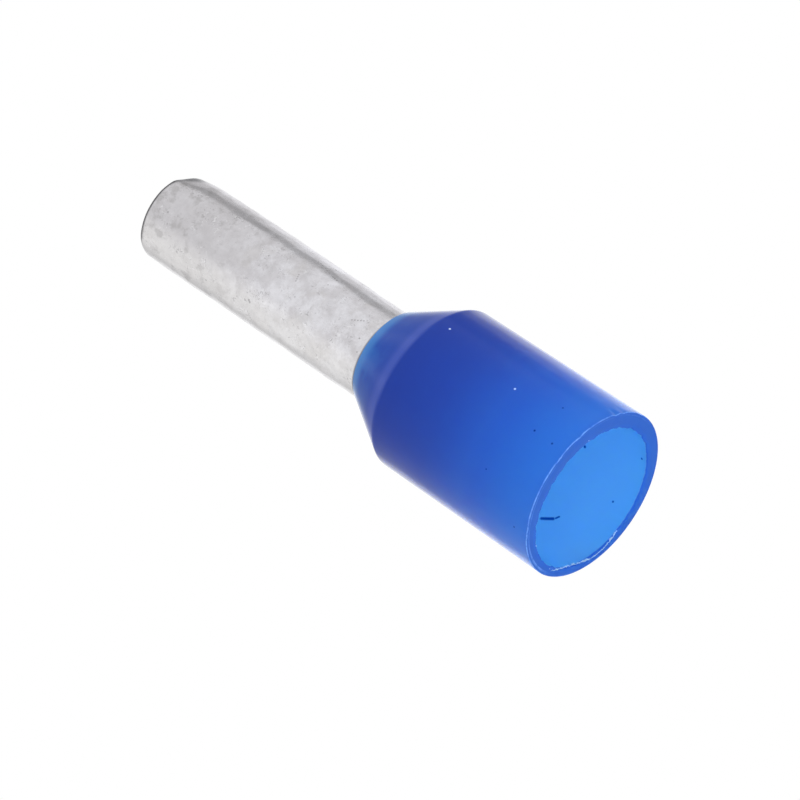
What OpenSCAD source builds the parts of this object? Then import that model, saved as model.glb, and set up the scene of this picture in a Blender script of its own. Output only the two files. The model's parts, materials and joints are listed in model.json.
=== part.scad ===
// Insulated wire ferrule: a thin metal sleeve with a rolled tip and a flared end,
// held in the cone of a moulded collar. It stands on the mouth of the collar,
// with its axis on +Z and the origin at the centre of the mouth's face.

/* [Metal sleeve] */
// Outer diameter of the tube
sleeve_od = 2.52; // [2.3:0.01:2.8]
// Thickness of the tube's wall
sleeve_wall = 0.16; // [0.12:0.01:0.2]
// Length of tube that stands out of the collar
pin_length = 8.0; // [6:0.1:12]
// Outer radius of the edge that is rolled inwards at the tip
tip_roll = 0.24; // [0.21:0.01:0.4]
// Width of the flat ring on the tip's face, inside the rolled edge
tip_land = 0.02; // [0.01:0.01:0.1]
// Slant of the sheared face inside the tip, from the axis
tip_shear = 12; // [5:1:30]
// Outer diameter of the flared end, inside the collar
flare_od = 3.45; // [3.1:0.05:3.7]
// Radius of the bend where the tube flares, on the side of the collar
flare_bend = 0.3; // [0.1:0.05:0.4]

/* [Insulating collar] */
// Length from the mouth to the thin edge round the tube
collar_length = 7.2; // [6:0.1:10]
// Diameter of the bore that takes the wire's insulation
bore_d = 4.05; // [3.9:0.05:4.2]
// Thickness of the wall round the bore, at the mouth
mouth_wall = 0.375; // [0.325:0.005:0.6]
// Thickness of the same wall at the shoulder, where the cone begins
shoulder_wall = 0.3; // [0.25:0.005:0.5]
// Angle between the cone and the axis
cone_angle = 30; // [25:1:40]
// Thickness of the cone's wall
cone_wall = 0.3; // [0.25:0.01:0.35]
// Thickness of the collar at its thin edge round the tube
edge_wall = 0.11; // [0.08:0.01:0.16]
// Gap between the tube and the collar that is moulded on it
seat_gap = 0; // [0:0.005:0.02]

/* [Roundings] */
// Rounding along the shoulder
shoulder_round = 0.2; // [0.05:0.05:0.5]
// Rounding inside the collar, between the bore and the cone
bore_round = 0.25; // [0.05:0.05:0.5]
// Rounding of both edges of the mouth
rim_round = 0.06; // [0.02:0.01:0.1]
// Rounding of the thin end's outer edge
edge_round = 0.04; // [0.02:0.01:0.06]

/* [Hidden] */
$fn = 96;
// Largest turn, in degrees, between two points of a rounding
round_step = 10;

tube_r = sleeve_od / 2;
total_length = collar_length + pin_length;

// A point is [distance from the axis, height]. Both cones fall in this direction.
slope = tan(cone_angle);
down_cone = [sin(cone_angle), -cos(cone_angle)];
// How far the corner between tube and cone falls for each unit that both move inwards
corner_fall = (1 / cos(cone_angle) - 1) / slope;

// Collar, outside: thin edge, shoulder and mouth
bore_r = bore_d / 2;
neck_r = tube_r + seat_gap;
edge = [neck_r + edge_wall, collar_length];
shoulder_r = bore_r + shoulder_wall;
shoulder = [shoulder_r, edge.y - (shoulder_r - edge.x) / slope];
mouth = [bore_r + mouth_wall, 0];

// Collar, inside: the neck round the tube, and the cone down to the bore
neck = [neck_r, edge.y - (cone_wall / cos(cone_angle) - edge_wall) / slope];
bore_top = [bore_r, neck.y - (bore_r - neck_r) / slope];

// Sleeve: both sides of the bend, and both corners of the flare's end
bend = [tube_r, neck.y - seat_gap * corner_fall];
bend_inside = bend - sleeve_wall * [1, corner_fall];
flare_end = bend + down_cone * (flare_od / 2 - tube_r) / sin(cone_angle);
flare_end_inside = flare_end + [down_cone.y, -down_cone.x] * sleeve_wall;

// Corners that keep their edge, or take a rounding as a third value
function sharp(point) = [point.x, point.y, 0];
function soft(point, rounding) = [point.x, point.y, rounding];

function flat(corner) = [corner[0], corner[1]];
function unit(v) = v / norm(v);

// The points that replace a corner between its two neighbours
function arc(corner, before, after) =
    let (
        one = unit(flat(before) - flat(corner)),
        other = unit(flat(after) - flat(corner)),
        half = acos(one * other) / 2,
        centre = flat(corner) + unit(one + other) * corner[2] / sin(half),
        first = flat(corner) + one * corner[2] / tan(half) - centre,
        last = flat(corner) + other * corner[2] / tan(half) - centre,
        turn = 180 - 2 * half,
        steps = ceil(turn / round_step)
    )
    [for (i = [0:steps])
        centre + (first * sin(turn * (1 - i / steps)) + last * sin(turn * i / steps)) / sin(turn)];

function rounded(corners) =
    let (count = len(corners))
    [for (i = [0:count - 1])
        each corners[i][2] == 0
            ? [flat(corners[i])]
            : arc(corners[i], corners[(i + count - 1) % count], corners[(i + 1) % count])];

module metal_sleeve() {
    tip_open_r = tube_r - tip_roll - tip_land;
    tip_throat_r = tip_open_r - sleeve_wall * tan(tip_shear);
    color("gainsboro") rotate_extrude() polygon(rounded([
        soft([tube_r, total_length], tip_roll),
        soft(bend, flare_bend + seat_gap),
        sharp(flare_end),
        sharp(flare_end_inside),
        soft(bend_inside, flare_bend + seat_gap + sleeve_wall),
        soft([tube_r - sleeve_wall, total_length - sleeve_wall], tip_roll - sleeve_wall),
        sharp([tip_throat_r, total_length - sleeve_wall]),
        sharp([tip_open_r, total_length])
    ]));
}

module insulating_collar() {
    color("royalblue") rotate_extrude() polygon(rounded([
        soft(mouth, rim_round),
        soft(shoulder, shoulder_round),
        soft(edge, edge_round),
        sharp([neck_r, collar_length]),
        soft(neck, flare_bend),
        soft(bore_top, bore_round),
        soft([bore_r, 0], rim_round)
    ]));
}

metal_sleeve();
insulating_collar();
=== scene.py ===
# Insulated wire ferrule: a satin tinned sleeve in a glossy blue collar, standing on its mouth.
import json
import math

import bpy
from mathutils import Matrix, Vector


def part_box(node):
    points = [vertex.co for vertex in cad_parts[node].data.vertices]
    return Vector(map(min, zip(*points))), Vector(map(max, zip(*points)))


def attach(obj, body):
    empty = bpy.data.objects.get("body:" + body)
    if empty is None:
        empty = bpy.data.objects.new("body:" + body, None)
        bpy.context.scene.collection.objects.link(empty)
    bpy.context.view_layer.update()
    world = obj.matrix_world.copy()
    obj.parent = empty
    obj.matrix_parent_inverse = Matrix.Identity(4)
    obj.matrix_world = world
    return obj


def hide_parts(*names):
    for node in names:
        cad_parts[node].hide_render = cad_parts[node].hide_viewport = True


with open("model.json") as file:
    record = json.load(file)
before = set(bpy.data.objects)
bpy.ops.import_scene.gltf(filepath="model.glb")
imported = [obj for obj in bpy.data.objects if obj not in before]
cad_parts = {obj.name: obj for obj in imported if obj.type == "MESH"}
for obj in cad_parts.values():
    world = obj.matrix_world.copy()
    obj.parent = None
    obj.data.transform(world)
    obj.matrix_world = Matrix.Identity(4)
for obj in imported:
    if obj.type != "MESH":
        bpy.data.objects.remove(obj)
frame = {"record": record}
bpy.context.view_layer.update()

# Main sizes, in millimetres and degrees. The first five come from the frame
dims = {mount["name"]: mount["dims"] for mount in frame["record"]["mounts"]}
ferrule = {
    "length": 1000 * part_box("metal_sleeve")[1].z,
    "collarLength": 1000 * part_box("insulating_collar")[1].z,
    "tubeRadius": dims["sleeve_pin"]["r_mm"],
    "tubeInside": dims["conductor_bore"]["r_mm"],
    "boreRadius": dims["wire_entry"]["r_mm"],
    "mouthRadius": 2.384, "shoulderRadius": 2.325, "flareRadius": 1.725, "bendRounding": 0.3,
    "edgeWall": 0.11, "coneWall": 0.3, "coneAngle": 30.0,
}
cone = math.radians(ferrule["coneAngle"])
tubeWall = ferrule["tubeRadius"] - ferrule["tubeInside"]


# How far a cone falls while it grows wider by a width
def coneFall(width):
    return width / math.tan(cone)


edgeRadius = ferrule["tubeRadius"] + ferrule["edgeWall"]
shoulderHeight = ferrule["collarLength"] - coneFall(ferrule["shoulderRadius"] - edgeRadius)
neckHeight = ferrule["collarLength"] - coneFall(ferrule["coneWall"] / math.cos(cone) - ferrule["edgeWall"])
boreTop = neckHeight - coneFall(ferrule["boreRadius"] - ferrule["tubeRadius"])
flareHeight = neckHeight - coneFall(ferrule["flareRadius"] - ferrule["tubeRadius"])

# The sleeve and the collar's bore share one axis, which lies a little off the axis of the collar's outside.
# The bore is shifted along X, and at the mouth also along Y. The outside is shifted along both, and leans
shifts = {
    "bore": -0.09, "mouth": 0.1,
    "outsideX": -0.0095, "outsideY": 0.0135, "leanX": -0.004, "leanY": -0.0025,
}


# Centre and radius of a surface at a height
def outsideAt(height):
    taper = (ferrule["shoulderRadius"] - ferrule["mouthRadius"]) / shoulderHeight
    return (shifts["outsideX"] + shifts["leanX"] * height, shifts["outsideY"] + shifts["leanY"] * height,
            ferrule["mouthRadius"] + taper * height)


def boreAt(height):
    return shifts["bore"], shifts["mouth"] * (1 - height / boreTop), ferrule["boreRadius"]


def tubeAt(height):
    return shifts["bore"], 0.0, ferrule["tubeRadius"]


# Short forms for nodes, which shaders and geometry share


# Gives a socket a value, or links it to the socket that the value comes from
def plug(tree, socket, value):
    if isinstance(value, bpy.types.NodeSocket):
        tree.links.new(value, socket)
    else:
        socket.default_value = value


def addNode(tree, kind, plugs=None, **settings):
    made = tree.nodes.new(kind)
    for key, value in settings.items():
        setattr(made, key, value)
    for key, value in (plugs or {}).items():
        plug(tree, made.inputs[key], value)
    return made


def calc(tree, operation, *values):
    return addNode(tree, "ShaderNodeMath", dict(enumerate(values)), operation=operation).outputs[0]


def product(tree, first, *others):
    for value in others:
        first = calc(tree, "MULTIPLY", first, value)
    return first


def vectorCalc(tree, operation, *values, **named):
    plugs = {**dict(enumerate(values)), **named}
    made = addNode(tree, "ShaderNodeVectorMath", plugs, operation=operation)
    return made.outputs["Value" if operation in ("LENGTH", "DISTANCE", "DOT_PRODUCT") else "Vector"]


def ramp(tree, value, start, end, low=0.0, high=1.0, smooth=True):
    plugs = {"Value": value, "From Min": start, "From Max": end, "To Min": low, "To Max": high}
    kind = "SMOOTHSTEP" if smooth else "LINEAR"
    return addNode(tree, "ShaderNodeMapRange", plugs, interpolation_type=kind).outputs[0]


def noise(tree, place, scale, detail=2.0, roughness=0.5, distortion=0.0):
    plugs = {"Vector": place, "Scale": scale, "Detail": detail, "Roughness": roughness}
    return addNode(tree, "ShaderNodeTexNoise", {**plugs, "Distortion": distortion}).outputs[0]


# Noise between minus and plus half a size
def wobble(tree, place, grain, size):
    return product(tree, calc(tree, "SUBTRACT", noise(tree, place, *grain), 0.5), size)


# A place's parts, and the same place moved along Z to the level of the mouth
def levelled(tree, place):
    parts = addNode(tree, "ShaderNodeSeparateXYZ", {0: place}).outputs
    return parts, vectorCalc(tree, "MULTIPLY", place, (1.0, 1.0, 0.0))


# Degrees round the Z axis, from one part of a place towards another
def turnOf(tree, towards, start):
    return calc(tree, "DEGREES", calc(tree, "ARCTAN2", towards, start))


# Materials: every pattern reads Object coordinates, brought to millimetres


def startMaterial(name):
    material = bpy.data.materials.new(name)
    material.use_nodes = True
    tree = material.node_tree
    tree.nodes.clear()
    coordinates = addNode(tree, "ShaderNodeTexCoord").outputs["Object"]
    place = addNode(tree, "ShaderNodeMapping", {"Vector": coordinates, "Scale": (1000.0,) * 3}).outputs[0]
    return material, tree, place


def mixColour(tree, share, one, other):
    made = addNode(tree, "ShaderNodeMix", data_type="RGBA")
    sockets = [socket for socket in made.inputs if socket.enabled]
    for socket, value in zip(sockets, (share, one, other)):
        plug(tree, socket, (*value, 1.0) if isinstance(value, tuple) else value)
    return next(socket for socket in made.outputs if socket.enabled)


# Lays colours over one another, from (share, colour) pairs
def paintOver(tree, colour, layers):
    for share, paint in layers:
        colour = mixColour(tree, share, colour, paint)
    return colour


# Colours along a value, from (value, colour) pairs
def colourRun(tree, value, stops):
    first, last = stops[0][0], stops[-1][0]
    share = ramp(tree, value, first, last, smooth=False)
    made = addNode(tree, "ShaderNodeValToRGB", {"Fac": share})
    elements = made.color_ramp.elements
    while len(elements) < len(stops):
        elements.new(0.5)
    for element, (at, colour) in zip(elements, stops):
        element.position = (at - first) / (last - first)
        element.color = (*colour, 1.0)
    return made.outputs["Color"]


# A noise (scale, detail, roughness, distortion) brought to a share by a ramp (from, to, least, most)
def pattern(tree, place, grain, limits):
    return ramp(tree, noise(tree, place, *grain), *limits)


# Round marks on a surface: (angle from -Y towards +X, height, size). The core is the part that is full
def marks(tree, place, surfaceAt, spots, core=0.3):
    shown = None
    for angle, height, size in spots:
        turn = math.radians(angle)
        middleX, middleY, radius = surfaceAt(height)
        centre = (middleX + radius * math.sin(turn), middleY - radius * math.cos(turn), height)
        away = vectorCalc(tree, "DISTANCE", place, centre)
        spot = ramp(tree, away, core * size, size, 1.0, 0.0)
        shown = spot if shown is None else calc(tree, "MAXIMUM", shown, spot)
    return shown


# Marks along a line on a surface
def trail(start, end, size, count):
    shares = [number / (count - 1) for number in range(count)]
    return [(*Vector(start).lerp(Vector(end), share), size) for share in shares]


# Names that end in From, To, Side, Within or Beyond are ramps along Z, X or Y, or out from an axis
plastic = {
    # The outside by height: lighter towards the mouth, painted light that comes through the thin wall; darker
    # towards the shoulder, painted shade where the metal inside keeps light out; a painted highlight band
    # just above the shoulder; and a painted pale crescent of reflected light at the cone's narrow end
    "outside": [  # by height
        (0.2, (0.004, 0.088, 0.50)), (1.9, (0.003, 0.047, 0.41)), (3.7, (0.006, 0.036, 0.325)),
        (5.5, (0.0085, 0.038, 0.30)), (5.66, (0.038, 0.078, 0.39)), (5.80, (0.038, 0.078, 0.39)),
        (6.05, (0.016, 0.058, 0.35)), (6.75, (0.020, 0.115, 0.43)), (7.2, (0.060, 0.215, 0.54))],
    # The inner wall is painted lighter than the outside, and lighter deeper in, as painted light that comes
    # through the wall
    "inside": [(0.0, (0.12, 0.47, 0.74)), (2.5, (0.36, 0.86, 1.0))],
    "insideFrom": (0.04, 0.1), "insideTo": (5.5, 5.3), "insideWithin": (2.2, 2.14),
    # Light that passes through the wall
    "throughOutside": [(2.4, (0.5, 0.8, 1.0)), (5.2, (0.06, 0.12, 0.35))], "shareOutside": 0.12,
    "throughInside": [(0.0, (0.12, 0.46, 0.75)), (2.5, (0.15, 0.54, 0.97))], "shareInside": 0.6,
    # The rim's face, and its inner part, a deeper blue painted as shade at the inner edge, out to a ragged
    # line
    "rim": (0.006, 0.085, 0.56), "rimTo": (0.05, 0.02),
    "rimInside": (0.0, 0.090, 0.60), "rimInsideTo": (0.06, 0.04), "rimInsideWithin": (2.26, 2.2),
    "worn": (4.5, 4.0, 0.65), "wornDepth": 0.2,
    # Darker patches on the middle of the cone, weaker towards -X
    "smudge": (0.010, 0.052, 0.34), "smears": ((1.3, 3.0, 0.5), (0.36, 0.56, 0.25, 1.0)),
    "smearStretch": (1.0, 1.0, 0.8),
    "smearFrom": (5.8, 6.15), "smearTo": (7.0, 6.7), "smearSide": (-1.5, -0.6, 0.3, 0.9),
    # Light that enters the wall and leaves again at its sharp outer edge
    "scatter": (0.17, 0.36, 0.88), "scatterBreaks": ((5.0, 4.0, 0.7), (0.36, 0.6, 0.3, 1.0)),
    "scatterFrom": (0.0015, 0.005), "scatterTo": (0.036, 0.02), "scatterBeyond": (2.27, 2.29),
    "scatterSide": (0.5, -0.2),
    "torn": (0.40, 0.66, 0.98), "grime": (0.003, 0.09, 0.40),
    "paleSpeck": (0.6, 0.75, 0.98), "darkSpeck": (0.004, 0.025, 0.2),
    "paleSpecks": [(38.9, 5.14, 0.04), (28.1, 2.4, 0.04)],
    "darkSpecks": [(12.5, 1.1, 0.045), (11.8, 0.46, 0.042),
                   (-48.5, 0.45, 0.035), (-24.2, 1.73, 0.03), (35.7, 1.02, 0.035)],
    "innerSpecks": [(150.8, 2.05, 0.06), (130.4, 0.22, 0.05), (173.4, 0.61, 0.045),
                    *trail((-145.8, 1.85), (-150.8, 1.64), 0.08, 8),
                    *trail((-152.6, 1.59), (-154.9, 1.56), 0.045, 4)],
    "roughness": 0.12, "specular": 0.2, "refraction": 1.49,
    "swell": (0.9, 2.0), "swellShown": 0.3, "swellHeight": 0.00004,  # in metres
}


def bluePlastic():
    material, tree, place = startMaterial("blue polypropylene")
    parts, level = levelled(tree, place)
    height = parts["Z"]
    radius = vectorCalc(tree, "LENGTH", level)
    fromBore = vectorCalc(tree, "DISTANCE", level, (shifts["bore"], shifts["mouth"], 0.0))

    def zone(value, name):
        return ramp(tree, value, *plastic[name])

    stretched = addNode(tree, "ShaderNodeMapping", {"Vector": place, "Scale": plastic["smearStretch"]})
    coneDarkShare = product(tree, pattern(tree, stretched.outputs[0], *plastic["smears"]),
                    zone(height, "smearFrom"), zone(height, "smearTo"), zone(parts["X"], "smearSide"))
    # Painted shade along the rim's inner edge, out to a ragged line
    worn = product(tree, noise(tree, place, *plastic["worn"]), plastic["wornDepth"])
    rimInside = product(tree, zone(calc(tree, "ADD", fromBore, worn), "rimInsideWithin"),
                        zone(height, "rimInsideTo"))
    scatter = product(tree, zone(height, "scatterFrom"), zone(height, "scatterTo"),
                      zone(radius, "scatterBeyond"), zone(parts["Y"], "scatterSide"),
                      pattern(tree, place, *plastic["scatterBreaks"]))
    # The inner wall, whose colour is painted lighter as light that comes through the wall
    inside = product(tree, zone(radius, "insideWithin"), zone(height, "insideFrom"), zone(height, "insideTo"))
    torn = addNode(tree, "ShaderNodeAttribute", attribute_name="torn").outputs["Fac"]
    dark = marks(tree, place, outsideAt, plastic["darkSpecks"])
    innerDark = marks(tree, place, boreAt, plastic["innerSpecks"])
    pale = marks(tree, place, outsideAt, plastic["paleSpecks"])
    # The outside's run by height carries painted light through the wall, painted shade and painted highlights
    colour = paintOver(tree, colourRun(tree, height, plastic["outside"]), [
        (coneDarkShare, plastic["smudge"]), (zone(height, "rimTo"), plastic["rim"]),
        (rimInside, plastic["rimInside"]), (scatter, plastic["scatter"]),
        (inside, colourRun(tree, height, plastic["inside"])),
        (torn, plastic["torn"]), (dark, plastic["darkSpeck"]), (innerDark, plastic["grime"]),
        (pale, plastic["paleSpeck"])])

    bump = addNode(tree, "ShaderNodeBump", {
        "Height": noise(tree, place, *plastic["swell"]), "Strength": plastic["swellShown"],
        "Distance": plastic["swellHeight"]}).outputs[0]
    body = addNode(tree, "ShaderNodeBsdfPrincipled", {
        "Base Color": colour, "Roughness": plastic["roughness"], "IOR": plastic["refraction"],
        "Normal": bump, "Specular IOR Level": plastic["specular"]})
    passed = paintOver(tree, colourRun(tree, height, plastic["throughOutside"]), [
        (inside, colourRun(tree, height, plastic["throughInside"])),
        (calc(tree, "MAXIMUM", dark, innerDark), plastic["grime"])])
    through = addNode(tree, "ShaderNodeBsdfTranslucent", {"Color": passed})
    share = ramp(tree, inside, 0.0, 1.0, plastic["shareOutside"], plastic["shareInside"], smooth=False)
    both = addNode(tree, "ShaderNodeMixShader", {0: share, 1: body.outputs[0], 2: through.outputs[0]})
    addNode(tree, "ShaderNodeOutputMaterial", {"Surface": both.outputs[0]})
    return material


tin = {
    "light": (0.735, 0.73, 0.765), "dark": (0.62, 0.607, 0.632), "blotches": ((1.7, 8.0, 0.68), (0.38, 0.6)),
    "warm": (0.585, 0.565, 0.565), "warmth": ((1.1, 6.0, 0.6, 0.6), (0.52, 0.66, 0.0, 0.5)),
    "dull": (0.55, 0.535, 0.55), "dullFrom": (10.5, 13.0, 0.0, 0.7),
    "clean": (0.70, 0.69, 0.675), "cleanSide": (-0.3, -1.0, 0.0, 0.6),
    # Flakes and specks come in clusters
    "clusters": ((1.9, 3.0, 0.6), (0.42, 0.62)),
    "flake": (0.84, 0.84, 0.86), "flakes": ((8.0, 4.0, 0.6, 1.2), (0.56, 0.66, 0.0, 0.5)),
    "pit": (0.30, 0.29, 0.30), "specks": ((9.0, 4.0, 0.6, 1.5), (0.43, 0.33, 0.0, 0.6)),
    "crystals": ((5.0, 8.0, 0.75), (0.35, 0.65, 0.0, 0.16)),
    # The last of the tube is stained, and the rolled tip is dark, most of all on its knocked side
    "stain": (0.36, 0.35, 0.35), "stains": ((2.6, 5.0, 0.6), (0.5, 0.64, 0.0, 0.5)),
    "stainFrom": (10.6, 14.0, 0.25, 1.0),
    "tip": (0.13, 0.13, 0.135), "tipFrom": (15.02, 15.1, 0.0, 0.85),
    "knockFrom": (14.95, 15.2, 0.0, 0.85), "knockSide": (0.35, 0.75), "knockReachSide": (0.5, 1.1, 0.0, 0.4),
    # Painted shade in the corner under the collar's thin edge, a dark line along the joint
    "grime": (0.05, 0.07, 0.12), "grimeTo": (7.32, 7.26, 0.0, 0.8),
    "grazing": (0.70, 0.70, 0.71), "roughness": ((1.6, 4.0), (0.3, 0.7, 0.12, 0.22)),
    "grain": (7.0, 6.0, 0.65), "swell": (1.1, 3.0), "swellShare": 3.0, "speckDepth": 0.5,
    "bumpShown": 0.3, "bumpHeight": 0.00001,  # in metres
    "markShown": 0.75,
    "marks": [(-48.0, 12.64, 0.035), (-35.8, 11.1, 0.05), (-37.4, 11.06, 0.05), (22.7, 11.27, 0.035),
              *trail((24.1, 10.2), (15.8, 10.13), 0.03, 4), *trail((14.8, 8.07), (22.0, 7.79), 0.03, 5),
              (1.8, 7.55, 0.035), (-13.0, 7.4, 0.03), (34.8, 9.37, 0.03), (-0.5, 9.85, 0.03),
              (7.9, 8.84, 0.025), *trail((49.8, 9.52), (47.9, 9.35), 0.035, 3),
              *trail((51.6, 9.7), (59.0, 10.25), 0.03, 6)],
}


def tinnedCopper():
    material, tree, place = startMaterial("tinned copper")
    parts = addNode(tree, "ShaderNodeSeparateXYZ", {0: place}).outputs
    height, across = parts["Z"], parts["X"]
    clusters = pattern(tree, place, *tin["clusters"])
    flakes = pattern(tree, place, *tin["flakes"])
    specks = pattern(tree, place, *tin["specks"])
    stains = product(tree, pattern(tree, place, *tin["stains"]), ramp(tree, height, *tin["stainFrom"]))
    # The dark of the knock reaches lower towards +X
    lowered = calc(tree, "ADD", height, ramp(tree, across, *tin["knockReachSide"]))
    knocked = product(tree, ramp(tree, lowered, *tin["knockFrom"]), ramp(tree, across, *tin["knockSide"]))
    spots = product(tree, marks(tree, place, tubeAt, tin["marks"]), tin["markShown"])
    base = mixColour(tree, pattern(tree, place, *tin["blotches"]), tin["dark"], tin["light"])
    colour = paintOver(tree, base, [
        (pattern(tree, place, *tin["warmth"]), tin["warm"]),
        (ramp(tree, height, *tin["dullFrom"]), tin["dull"]),
        (ramp(tree, across, *tin["cleanSide"]), tin["clean"]),
        (product(tree, flakes, clusters), tin["flake"]), (product(tree, specks, clusters), tin["pit"]),
        (pattern(tree, place, *tin["crystals"]), tin["pit"]), (stains, tin["stain"]),
        (ramp(tree, height, *tin["tipFrom"]), tin["tip"]), (knocked, tin["tip"]), (spots, tin["pit"]),
        # Painted shade where the sleeve meets the collar's thin edge
        (ramp(tree, height, *tin["grimeTo"]), tin["grime"])])

    swell = product(tree, noise(tree, place, *tin["swell"]), tin["swellShare"])
    raised = calc(tree, "ADD", noise(tree, place, *tin["grain"]), swell)
    uneven = calc(tree, "SUBTRACT", raised, product(tree, specks, tin["speckDepth"]))
    bump = addNode(tree, "ShaderNodeBump", {
        "Height": uneven, "Strength": tin["bumpShown"], "Distance": tin["bumpHeight"]}).outputs[0]
    body = addNode(tree, "ShaderNodeBsdfPrincipled", {
        "Base Color": colour, "Metallic": 1.0, "Roughness": pattern(tree, place, *tin["roughness"]),
        "Normal": bump, "Specular Tint": (*tin["grazing"], 1.0)})
    addNode(tree, "ShaderNodeOutputMaterial", {"Surface": body.outputs[0]})
    return material


# Geometry trees: sizes are in millimetres


def startTree(name, sizes):
    tree = bpy.data.node_groups.new(name, "GeometryNodeTree")
    tree.interface.new_socket(name="Geometry", in_out="OUTPUT", socket_type="NodeSocketGeometry")
    kinds = {int: "NodeSocketInt", float: "NodeSocketFloat"}
    for label, value in sizes.items():
        item = tree.interface.new_socket(name=label, in_out="INPUT", socket_type=kinds[type(value)])
        item.default_value = value
    return tree, tree.nodes.new("NodeGroupInput").outputs


def endTree(tree, geometry, material):
    smooth = addNode(tree, "GeometryNodeSetShadeSmooth", {"Geometry": geometry})
    metres = addNode(tree, "GeometryNodeTransform", {"Geometry": smooth.outputs[0], "Scale": (0.001,) * 3})
    real = addNode(tree, "GeometryNodeRealizeInstances", {"Geometry": metres.outputs[0]})
    painted = addNode(tree, "GeometryNodeSetMaterial", {"Geometry": real.outputs[0], "Material": material})
    addNode(tree, "NodeGroupOutput", {0: painted.outputs[0]})


def addObject(name, data):
    made = bpy.data.objects.new(name, data)
    bpy.context.scene.collection.objects.link(made)
    return made


def bake(name, tree, sizes):
    holder = addObject(name + "_maker", bpy.data.meshes.new(name + "_maker"))
    maker = holder.modifiers.new("maker", "NODES")
    maker.node_group = tree
    for item in tree.interface.items_tree:
        if item.in_out == "INPUT":
            maker[item.identifier] = sizes[item.name]
    graph = bpy.context.evaluated_depsgraph_get()
    mesh = bpy.data.meshes.new_from_object(holder.evaluated_get(graph))
    mesh.name = name
    holder.modifiers.remove(maker)
    bpy.data.objects.remove(holder)
    print(name, "has", len(mesh.polygons), "faces")
    return addObject(name, mesh)


def switchByIndex(tree, kind, values):
    index = addNode(tree, "GeometryNodeInputIndex").outputs[0]
    made = addNode(tree, "GeometryNodeIndexSwitch", {"Index": index}, data_type=kind)
    while len(made.index_switch_items) < len(values):
        made.index_switch_items.new()
    for number, value in enumerate(values):
        plug(tree, made.inputs[1 + number], value)
    return made.outputs[0]


# Turns a closed profile, whose corners are (radius, height, rounding), round the Z axis
def turnedProfile(tree, corners, given):
    points = []
    for radius, height, _ in corners:
        down = calc(tree, "MULTIPLY", height, -1.0)
        points.append(addNode(tree, "ShaderNodeCombineXYZ", {"X": radius, "Y": down}).outputs[0])
    line = addNode(tree, "GeometryNodeMeshLine", {"Count": len(corners)})
    outline = addNode(tree, "GeometryNodeSetPosition", {
        "Geometry": line.outputs[0], "Position": switchByIndex(tree, "VECTOR", points)})
    curve = addNode(tree, "GeometryNodeMeshToCurve", {"Mesh": outline.outputs[0]})
    closed = addNode(tree, "GeometryNodeSetSplineCyclic", {"Geometry": curve.outputs[0], "Cyclic": True})
    roundings = switchByIndex(tree, "FLOAT", [rounding for _, _, rounding in corners])
    fillet = addNode(tree, "GeometryNodeFilletCurve", {
        "Curve": closed.outputs[0], "Radius": roundings, "Count": given["Rounding steps"],
        "Limit Radius": True}, mode="POLY")
    # The profile rides on a circle of radius 1 and is drawn back by as much
    drawnBack = addNode(tree, "GeometryNodeSetPosition", {
        "Geometry": fillet.outputs[0], "Offset": (-1.0, 0.0, 0.0)})
    circle = addNode(tree, "GeometryNodeCurvePrimitiveCircle", {
        "Resolution": given["Steps round"], "Radius": 1.0})
    turned = addNode(tree, "GeometryNodeCurveToMesh", {
        "Curve": circle.outputs[0], "Profile Curve": drawnBack.outputs[0]})
    return addNode(tree, "GeometryNodeFlipFaces", {"Mesh": turned.outputs[0]}).outputs[0]


# Where each point lies: along the axes, out from the Z axis, and its direction from that axis
def polarPlace(tree):
    position = addNode(tree, "GeometryNodeInputPosition").outputs[0]
    parts, level = levelled(tree, position)
    return {"position": position, "X": parts["X"], "Y": parts["Y"], "height": parts["Z"],
            "radius": vectorCalc(tree, "LENGTH", level), "outward": vectorCalc(tree, "NORMALIZE", level)}


def storeValue(tree, geometry, name, value):
    plugs = {"Geometry": geometry, "Name": name, "Value": value}
    made = addNode(tree, "GeometryNodeStoreNamedAttribute", plugs, data_type="FLOAT", domain="POINT")
    return made.outputs[0]


def join(tree, pieces):
    joined = addNode(tree, "GeometryNodeJoinGeometry")
    for piece in reversed(pieces):
        tree.links.new(piece, joined.inputs[0])
    return joined.outputs[0]


nicksTop = 0.15  # the outer edge is nicked up to here
plainFrom = 0.36  # and no wall is uneven above here
collarSizes = {
    "Mouth radius": ferrule["mouthRadius"], "Nicks radius": outsideAt(nicksTop)[2], "Nicks top": nicksTop,
    "Plain radius": outsideAt(plainFrom)[2], "Plain height": plainFrom,
    "Shoulder radius": ferrule["shoulderRadius"], "Shoulder height": shoulderHeight,
    "Edge radius": edgeRadius, "Collar length": ferrule["collarLength"],
    "Neck radius": ferrule["tubeRadius"], "Neck height": neckHeight,
    "Bore radius": ferrule["boreRadius"], "Bore top": boreTop, "Lip depth": 0.16, "Rim dish": 0.014,
    "Rim rounding": 0.028, "Shoulder rounding": 0.2, "Edge rounding": 0.04,
    "Neck rounding": ferrule["bendRounding"], "Bore rounding": 0.25,
    "Bore shift": shifts["bore"], "Mouth shift": shifts["mouth"],
    "Outside shift": shifts["outsideX"], "Outside shift back": shifts["outsideY"],
    "Lean": shifts["leanX"], "Lean back": shifts["leanY"],
    "Rim wave": 0.1, "Rim roughness": 0.17, "Edge nicks": 0.3,
    "Burr radius": 2.085, "Burr shift": 0.03, "Burr wave": 0.07, "Burr waves": 6.0, "Burr turn": 152.0,
    "Burr start": -171.0, "Burr end": -101.0, "Burr thickness": 0.027, "Burr roughness": 0.12,
    "Burr seed": 4.0, "Burr lift": 0.001,
    "Steps round": 480, "Burr steps": 3000, "Burr sides": 6, "Rounding steps": 6,
}
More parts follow.
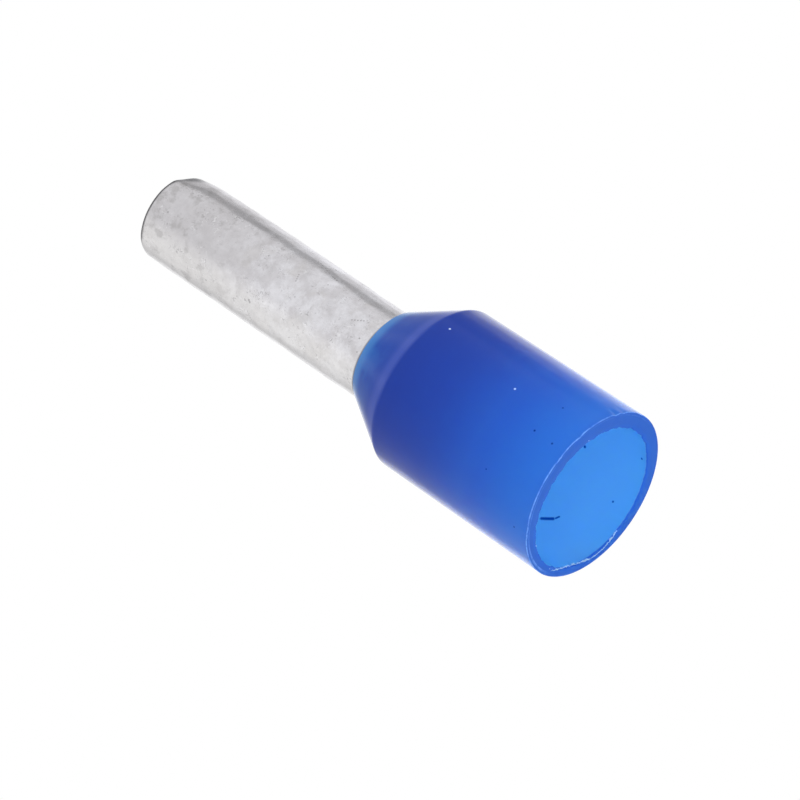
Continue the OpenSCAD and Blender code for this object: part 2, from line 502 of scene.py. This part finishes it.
# Noises (scale, detail, roughness), the level below which a noise cuts a nick, and ramps
collarTexture = {
    "rimWave": (1.1,), "rimRough": (9.0, 3.0, 0.6), "rimWithin": (2.25, 2.12),
    "nicks": (5.0, 4.0, 0.65), "nickLevel": 0.47,
    "nicksTo": (0.13, 0.03), "nicksBeyond": (2.28, 2.34), "nicksFacing": (-0.1, 0.4),
    "burrRough": (22.0, 3.0, 0.7), "burrWidth": ((14.0, 3.0, 0.7), (0.36, 0.62, 0.15, 1.0)),
    "wallMiddle": (shoulderHeight, 7.0, 2.16, 1.31),
}
chips = {
    "width": 0.6, "lift": 0.002,
    "places": [(-64.0, 1.985, 0.05, 0.028), (34.7, 2.01, 0.04, 0.026), (-99.0, 2.1, 0.03, 0.03)],
}


# A torn strand that weaves to and fro along the rim's inner edge
def addStrand(tree, given):
    here = polarPlace(tree)
    angle = turnOf(tree, here["X"], calc(tree, "MULTIPLY", here["Y"], -1.0))
    turned = product(tree, calc(tree, "ADD", angle, given["Burr turn"]), given["Burr waves"])
    weave = product(tree, calc(tree, "COSINE", calc(tree, "RADIANS", turned)), given["Burr wave"])
    seed = addNode(tree, "ShaderNodeCombineXYZ", {"Z": given["Burr seed"]}).outputs[0]
    seeded = vectorCalc(tree, "ADD", here["outward"], seed)
    jagged = wobble(tree, seeded, collarTexture["burrRough"], given["Burr roughness"])
    reach = calc(tree, "ADD", calc(tree, "ADD", given["Burr radius"], jagged), weave)
    thick = product(tree, pattern(tree, seeded, *collarTexture["burrWidth"]), given["Burr thickness"])
    lifted = addNode(tree, "ShaderNodeCombineXYZ", {
        "X": given["Bore shift"], "Y": given["Burr shift"],
        "Z": calc(tree, "ADD", thick, given["Burr lift"])}).outputs[0]
    woven = vectorCalc(tree, "ADD", vectorCalc(tree, "SCALE", here["outward"], Scale=reach), lifted)
    beyond = calc(tree, "MAXIMUM", calc(tree, "LESS_THAN", angle, given["Burr start"]),
                  calc(tree, "GREATER_THAN", angle, given["Burr end"]))

    circle = {"Vertices": given["Burr steps"], "Radius": 1.0}
    ring = addNode(tree, "GeometryNodeMeshCircle", circle, fill_type="NONE").outputs[0]
    kept = addNode(tree, "GeometryNodeDeleteGeometry", {"Geometry": ring, "Selection": beyond}).outputs[0]
    strand = addNode(tree, "GeometryNodeSetPosition", {
        "Geometry": storeValue(tree, kept, "thick", thick), "Position": woven}).outputs[0]
    line = addNode(tree, "GeometryNodeMeshToCurve", {"Mesh": strand}).outputs[0]
    section = addNode(tree, "GeometryNodeCurvePrimitiveCircle", {
        "Resolution": given["Burr sides"], "Radius": 1.0}, mode="RADIUS").outputs[0]
    stored = addNode(tree, "GeometryNodeInputNamedAttribute", {"Name": "thick"}, data_type="FLOAT")
    return addNode(tree, "GeometryNodeCurveToMesh", {
        "Curve": line, "Profile Curve": section, "Scale": stored.outputs[0], "Fill Caps": True}).outputs[0]


# A chip of plastic on the rim: angle from -Y, distance from the sleeve's axis, length and thickness
def addChip(tree, angle, away, length, size):
    turn = math.radians(angle)
    ball = addNode(tree, "GeometryNodeMeshIcoSphere", {"Radius": 1.0, "Subdivisions": 2}).outputs[0]
    return addNode(tree, "GeometryNodeTransform", {
        "Geometry": ball, "Scale": (chips["width"] * size, length, size),
        "Rotation": (0.0, 0.0, turn - math.pi / 2),
        "Translation": (shifts["bore"] + away * math.sin(turn), -away * math.cos(turn),
                        chips["lift"] + size)}).outputs[0]


# Waves and roughness near the rim, and small nicks in the outer edge on the near side
def rimUnevenness(tree, given, here):
    height, radius, outward = here["height"], here["radius"], here["outward"]
    wave = wobble(tree, outward, collarTexture["rimWave"], given["Rim wave"])
    rough = wobble(tree, outward, collarTexture["rimRough"], given["Rim roughness"])
    nearRim = product(tree, ramp(tree, height, given["Lip depth"], 0.0),
                      ramp(tree, radius, *collarTexture["rimWithin"]))
    level = calc(tree, "SUBTRACT", noise(tree, outward, *collarTexture["nicks"]), collarTexture["nickLevel"])
    facing = vectorCalc(tree, "DOT_PRODUCT", outward, (0.0, -1.0, 0.0))
    nicks = product(tree, calc(tree, "MINIMUM", level, 0.0), given["Edge nicks"],
                    ramp(tree, height, *collarTexture["nicksTo"]),
                    ramp(tree, radius, *collarTexture["nicksBeyond"]),
                    ramp(tree, facing, *collarTexture["nicksFacing"]))
    return calc(tree, "ADD", product(tree, calc(tree, "ADD", wave, rough), nearRim), nicks)


# How far the outside or the inside of the wall lies off the Z axis
def wallShift(tree, given, here):
    height = here["height"]
    # A point is inside if it lies nearer the axis than the middle of the wall at its height
    middle = ramp(tree, height, *collarTexture["wallMiddle"], smooth=False)
    inside = calc(tree, "LESS_THAN", here["radius"], middle)
    outerX = calc(tree, "ADD", given["Outside shift"], product(tree, height, given["Lean"]))
    outerY = calc(tree, "ADD", given["Outside shift back"], product(tree, height, given["Lean back"]))
    innerY = product(tree, ramp(tree, height, given["Bore top"], 0.0, smooth=False), given["Mouth shift"])
    return addNode(tree, "ShaderNodeCombineXYZ", {
        "X": ramp(tree, inside, 0.0, 1.0, outerX, given["Bore shift"], smooth=False),
        "Y": ramp(tree, inside, 0.0, 1.0, outerY, innerY, smooth=False)}).outputs[0]


def makeCollar():
    tree, given = startTree("turned collar", collarSizes)
    shape = turnedProfile(tree, [
        (given["Mouth radius"], 0.0, given["Rim rounding"]),
        (given["Nicks radius"], given["Nicks top"], 0.0),
        (given["Plain radius"], given["Plain height"], 0.0),
        (given["Shoulder radius"], given["Shoulder height"], given["Shoulder rounding"]),
        (given["Edge radius"], given["Collar length"], given["Edge rounding"]),
        (given["Neck radius"], given["Collar length"], 0.0),
        (given["Neck radius"], given["Neck height"], given["Neck rounding"]),
        (given["Bore radius"], given["Bore top"], given["Bore rounding"]),
        (given["Bore radius"], given["Plain height"], 0.0),
        (given["Bore radius"], given["Lip depth"], 0.0),
        (given["Bore radius"], given["Rim dish"], given["Rim rounding"]),
    ], given)
    here = polarPlace(tree)
    uneven = vectorCalc(tree, "SCALE", here["outward"], Scale=rimUnevenness(tree, given, here))
    offset = vectorCalc(tree, "ADD", uneven, wallShift(tree, given, here))
    moved = addNode(tree, "GeometryNodeSetPosition", {"Geometry": shape, "Offset": offset}).outputs[0]
    torn = join(tree, [addStrand(tree, given), *(addChip(tree, *place) for place in chips["places"])])
    endTree(tree, join(tree, [storeValue(tree, torn, "torn", 1.0), moved]), bluePlastic())
    return bake("ferrule_collar", tree, collarSizes)


collar = makeCollar()
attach(collar, "root")
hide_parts("insulating_collar")

# The tip's outer rounding, the flat ring inside it, and the slant of the sheared face inside that, in degrees
tip = {"roll": 0.24, "land": 0.02, "shear": 12.0}
tipOpenRadius = ferrule["tubeRadius"] - tip["roll"] - tip["land"]
sleeveSizes = {
    "Tube radius": ferrule["tubeRadius"], "Inside radius": ferrule["tubeInside"],
    "Length": ferrule["length"], "Inside top": ferrule["length"] - tubeWall,
    "Tip roll": tip["roll"], "Tip roll inside": tip["roll"] - tubeWall,
    "Tip open radius": tipOpenRadius,
    "Tip throat radius": tipOpenRadius - tubeWall * math.tan(math.radians(tip["shear"])),
    "Bend height": neckHeight, "Bend rounding": ferrule["bendRounding"],
    "Bend inside height": neckHeight - coneFall(tubeWall * (1 / math.cos(cone) - 1)),
    "Bend inside rounding": ferrule["bendRounding"] + tubeWall,
    "Flare radius": ferrule["flareRadius"], "Flare height": flareHeight,
    "Flare inside radius": ferrule["flareRadius"] - tubeWall * math.cos(cone),
    "Flare inside height": flareHeight - tubeWall * math.sin(cone),
    "Row top": 14.8, "Row step": 0.2,
    "Bore shift": shifts["bore"], "Dent depth": 0.09, "Flat depth": 0.035,
    "Ripple": 0.07, "Swell": 0.005, "Steps round": 256, "Rounding steps": 10,
}
rowCount = 37  # rows of points along the tube, so that it can be uneven
# The knock on the tip faces one way and is pressed in another. The rest are ramps of the facing and of Z
knock = {
    "facing": (0.956, -0.292, 0.0), "inwards": (-0.83, 0.28, -0.49),
    "dentFacing": (0.8, 1.0), "dentFrom": (14.3, 15.1), "flatFacing": (0.5, 1.0), "flatFrom": (13.0, 14.7),
}
# Unevenness of the tube: its noise, and ramps of the radius and of Z
ripple = {"grain": (0.55, 3.0, 0.6), "beyond": (1.15, 1.2), "from": (7.4, 8.2)}


# The rolled edge is pressed in on the tip's +X side, and the tube below it is a little flat
def knockDepth(tree, given, here):
    facing = vectorCalc(tree, "DOT_PRODUCT", here["outward"], knock["facing"])
    dent = product(tree, ramp(tree, facing, *knock["dentFacing"]),
                   ramp(tree, here["height"], *knock["dentFrom"]), given["Dent depth"])
    flat = product(tree, ramp(tree, facing, *knock["flatFacing"]),
                   ramp(tree, here["height"], *knock["flatFrom"]), given["Flat depth"])
    return calc(tree, "ADD", dent, flat)


# The outside is a little uneven along the free length
def tubeUnevenness(tree, given, here):
    free = product(tree, ramp(tree, here["radius"], *ripple["beyond"]),
                   ramp(tree, here["height"], *ripple["from"]))
    uneven = wobble(tree, here["position"], ripple["grain"], given["Ripple"])
    return product(tree, calc(tree, "ADD", uneven, given["Swell"]), free)


def makeSleeve():
    tree, given = startTree("turned sleeve", sleeveSizes)
    corners = [(given["Tube radius"], given["Length"], given["Tip roll"])]
    for row in range(rowCount):
        height = calc(tree, "SUBTRACT", given["Row top"], product(tree, given["Row step"], float(row)))
        corners.append((given["Tube radius"], height, 0.0))
    corners += [
        (given["Tube radius"], given["Bend height"], given["Bend rounding"]),
        (given["Flare radius"], given["Flare height"], 0.0),
        (given["Flare inside radius"], given["Flare inside height"], 0.0),
        (given["Inside radius"], given["Bend inside height"], given["Bend inside rounding"]),
        (given["Inside radius"], given["Inside top"], given["Tip roll inside"]),
        (given["Tip throat radius"], given["Inside top"], 0.0),
        (given["Tip open radius"], given["Length"], 0.0),
    ]
    shape = turnedProfile(tree, corners[::-1], given)
    here = polarPlace(tree)
    aside = addNode(tree, "ShaderNodeCombineXYZ", {"X": given["Bore shift"]}).outputs[0]
    inwards = vectorCalc(tree, "SCALE", knock["inwards"], Scale=knockDepth(tree, given, here))
    uneven = vectorCalc(tree, "SCALE", here["outward"], Scale=tubeUnevenness(tree, given, here))
    offset = vectorCalc(tree, "ADD", vectorCalc(tree, "ADD", inwards, aside), uneven)
    moved = addNode(tree, "GeometryNodeSetPosition", {"Geometry": shape, "Offset": offset}).outputs[0]
    endTree(tree, moved, tinnedCopper())
    return bake("ferrule_sleeve", tree, sleeveSizes)


sleeve = makeSleeve()
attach(sleeve, "root")
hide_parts("metal_sleeve")

# The camera looks up at the standing ferrule from below the floor, and is rolled so that the tip points up
# and to the left. Angles are in degrees, the lens and its sensor in millimetres, the rest in metres
view = {
    "elevation": -31.31, "roll": 55.75, "distance": 0.269, "right": 0.004866, "down": 0.002384,
    "lens": 479.58, "sensor": 36.0, "near": 0.01, "far": 20.0,
}


def makeCamera():
    lift = math.radians(view["elevation"])
    toCamera = Vector((0, -math.cos(lift), math.sin(lift)))
    roll = Matrix.Rotation(-math.radians(view["roll"]), 3, "Z").to_quaternion()
    turn = (-toCamera).to_track_quat("-Z", "Y") @ roll
    data = bpy.data.cameras.new("camera")
    data.lens = view["lens"]
    data.sensor_width = view["sensor"]
    data.clip_start = view["near"]
    data.clip_end = view["far"]
    camera = addObject("camera", data)
    camera.rotation_mode = "QUATERNION"
    camera.rotation_quaternion = turn
    right = turn @ Vector((1, 0, 0))
    up = turn @ Vector((0, 1, 0))
    camera.location = toCamera * view["distance"] - right * view["right"] + up * view["down"]
    bpy.context.scene.camera = camera


makeCamera()
print("camera: done")

light = {
    "world": 0.9, "throughWalls": 5.0, "away": 0.25, "size": 0.12, "aim": 0.0076,
    # Name, direction, and share of a white surface's level
    "lamps": [("key", (0.744, -0.514, 0.286), 0.15), ("top", (0.2, -0.3, 1.0), 0.2),
              ("front", (0.0, -0.9, -0.3), 0.2)],
    # What reflections see: from and to in degrees round from +X to +Y, from and to in degrees up,
    # softness, level
    "patches": [((4, 28), (-15, 60), 4, 0.58), ((-10, 190), (46, 74), 6, 0.5),
                ((-90, 270), (78, 100), 6, 0.5), ((47, 125), (5, 38), 6, 1.5),
                ((10, 170), (-85, -10), 8, 0.5), ((150, 230), (0, 60), 10, 1.12)],
}


def makeWorld():
    world = bpy.data.worlds.new("studio")
    bpy.context.scene.world = world
    world.use_nodes = True
    world.cycles.sampling_method = "NONE"
    tree = world.node_tree
    tree.nodes.clear()
    path = addNode(tree, "ShaderNodeLightPath").outputs
    shown = calc(tree, "MAXIMUM", path["Is Camera Ray"], path["Is Glossy Ray"])
    strength = ramp(tree, shown, 0.0, 1.0, light["world"], 1.0, smooth=False)
    # Darker and brighter patches, so that curved metal has a grey band beside its bright edge
    direction = addNode(tree, "ShaderNodeTexCoord").outputs["Generated"]
    parts = addNode(tree, "ShaderNodeSeparateXYZ", {0: direction}).outputs
    turn = calc(tree, "WRAP", turnOf(tree, parts["Y"], parts["X"]), 270.0, -90.0)
    up = calc(tree, "DEGREES", calc(tree, "ARCSINE", parts["Z"]))
    for around, lift, soft, level in light["patches"]:
        share = path["Is Glossy Ray"]
        for value, (low, high) in ((turn, around), (up, lift)):
            share = product(tree, share, ramp(tree, value, low - soft, low + soft),
                            ramp(tree, value, high + soft, high - soft))
        strength = product(tree, strength, ramp(tree, share, 0.0, 1.0, 1.0, level, smooth=False))
    # More light arrives through the plastic's walls, which glow inside
    through = path["Is Transmission Ray"]
    strength = ramp(tree, through, 0.0, 1.0, strength, light["throughWalls"], smooth=False)
    back = addNode(tree, "ShaderNodeBackground", {"Color": (1, 1, 1, 1), "Strength": strength})
    addNode(tree, "ShaderNodeOutputWorld", {"Surface": back.outputs[0]})


# A lamp whose light on a surface that faces it is a share of a white surface's own level
def addLamp(name, direction, share):
    towards = Vector(direction).normalized()
    data = bpy.data.lights.new(name, "AREA")
    data.size = light["size"]
    data.energy = share * math.pi ** 2 * light["away"] ** 2
    lamp = addObject(name, data)
    lamp.location = towards * light["away"] + Vector((0, 0, light["aim"]))
    lamp.rotation_mode = "QUATERNION"
    lamp.rotation_quaternion = towards.to_track_quat("Z", "Y")
    lamp.visible_camera = False
    lamp.visible_glossy = False


makeWorld()
for lampName, lampDirection, lampShare in light["lamps"]:
    addLamp(lampName, lampDirection, lampShare)
print("light: done")

# Half a side in metres, and where the shadow fades, in millimetres from the axis
floor = {"half": 5.0, "colour": (0.9, 0.9, 0.9, 1.0), "shadowTo": (18.0, 50.0)}


def makeFloor():
    half = floor["half"]
    mesh = bpy.data.meshes.new("floor")
    corners = [(-half, -half, 0), (half, -half, 0), (half, half, 0), (-half, half, 0)]
    mesh.from_pydata(corners, [], [(0, 1, 2, 3)])
    material, tree, place = startMaterial("white floor")
    mesh.materials.append(material)
    fade = ramp(tree, vectorCalc(tree, "LENGTH", place), *floor["shadowTo"])
    matte = addNode(tree, "ShaderNodeBsdfDiffuse", {"Color": floor["colour"]})
    white = addNode(tree, "ShaderNodeEmission", {"Color": (1, 1, 1, 1), "Strength": 1.0})
    top = addNode(tree, "ShaderNodeMixShader", {0: fade, 1: matte.outputs[0], 2: white.outputs[0]})
    # From below, and for light, the floor is not there, so that the mouth is seen and lit from all round
    path = addNode(tree, "ShaderNodeLightPath").outputs
    behind = addNode(tree, "ShaderNodeNewGeometry").outputs["Backfacing"]
    shown = product(tree, path["Is Camera Ray"], calc(tree, "SUBTRACT", 1.0, behind))
    clear = addNode(tree, "ShaderNodeBsdfTransparent")
    both = addNode(tree, "ShaderNodeMixShader", {0: shown, 1: clear.outputs[0], 2: top.outputs[0]})
    addNode(tree, "ShaderNodeOutputMaterial", {"Surface": both.outputs[0]})
    addObject("floor", mesh)


makeFloor()
print("floor: done")

bpy.context.scene.view_settings.view_transform = "Standard"

bpy.context.view_layer.update()
print("scene: done")
